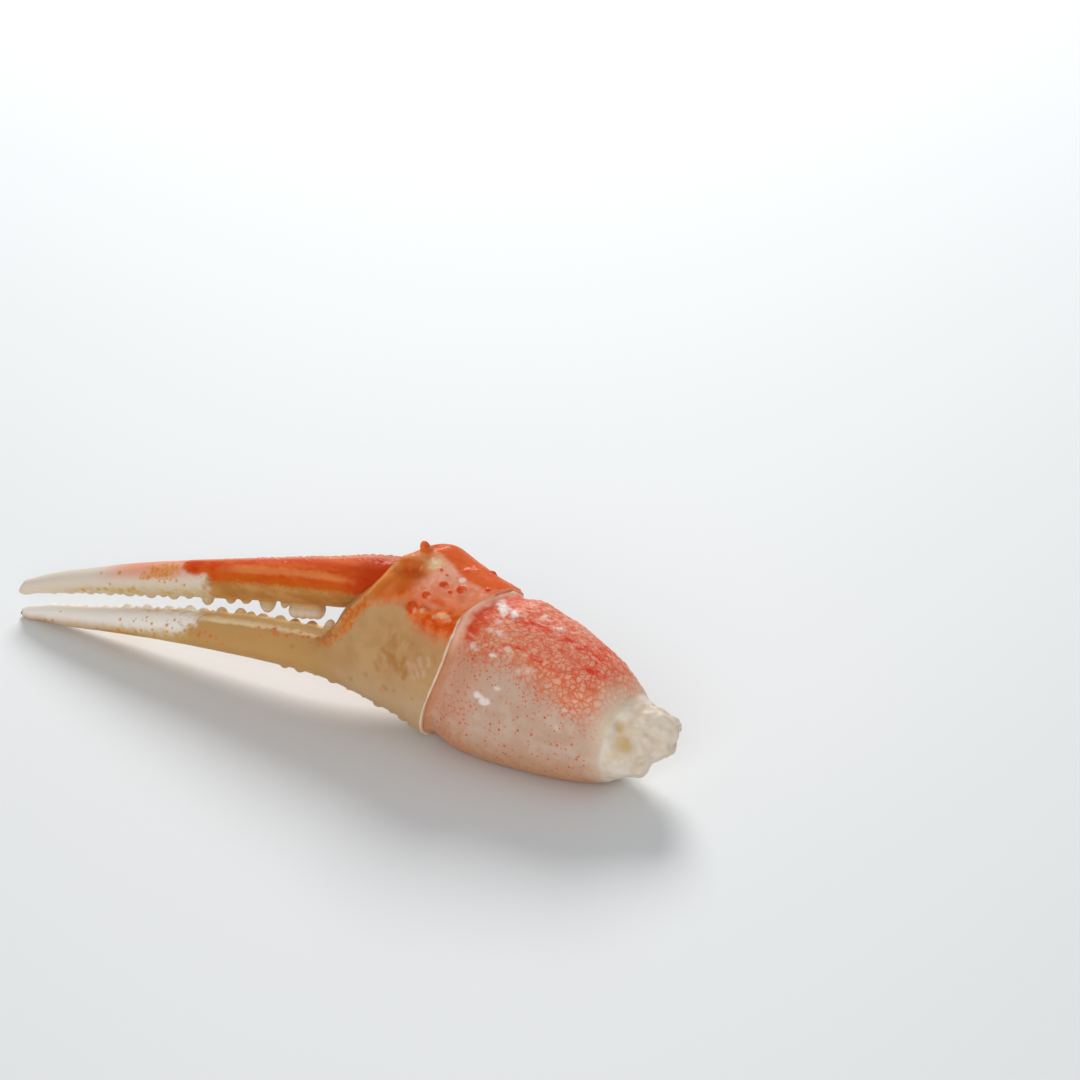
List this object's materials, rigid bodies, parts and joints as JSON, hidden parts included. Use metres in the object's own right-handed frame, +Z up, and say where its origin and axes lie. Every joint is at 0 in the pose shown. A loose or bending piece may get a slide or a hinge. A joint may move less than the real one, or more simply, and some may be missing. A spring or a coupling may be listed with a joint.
{
  "type": "cooked snow crab claw",
  "caption": "Cooked crab claw with toothed fingers and a thin palm shell, its peeled meat standing out of the cut edge.",
  "frame": {"origin": "bottom centre of the claw's box, on the surface that it lies on", "axes": "+X from the fingertips to the meat's broken end, +Z up, +Y towards the claw's inner face"},
  "size_m": [0.1201, 0.0234, 0.0283],
  "materials": {
    "shell": "smooth, slightly wet shell, cream below and orange above",
    "finger_shell": "smooth, slightly wet shell, red above, cream below, white at the tip",
    "meat": "wet cooked meat, red net above, white below and at the broken end"
  },
  "bodies": {
    "root": {"palm_shell": "shell", "moving_finger": "finger_shell", "meat": "meat"}
  },
  "joints": []
}
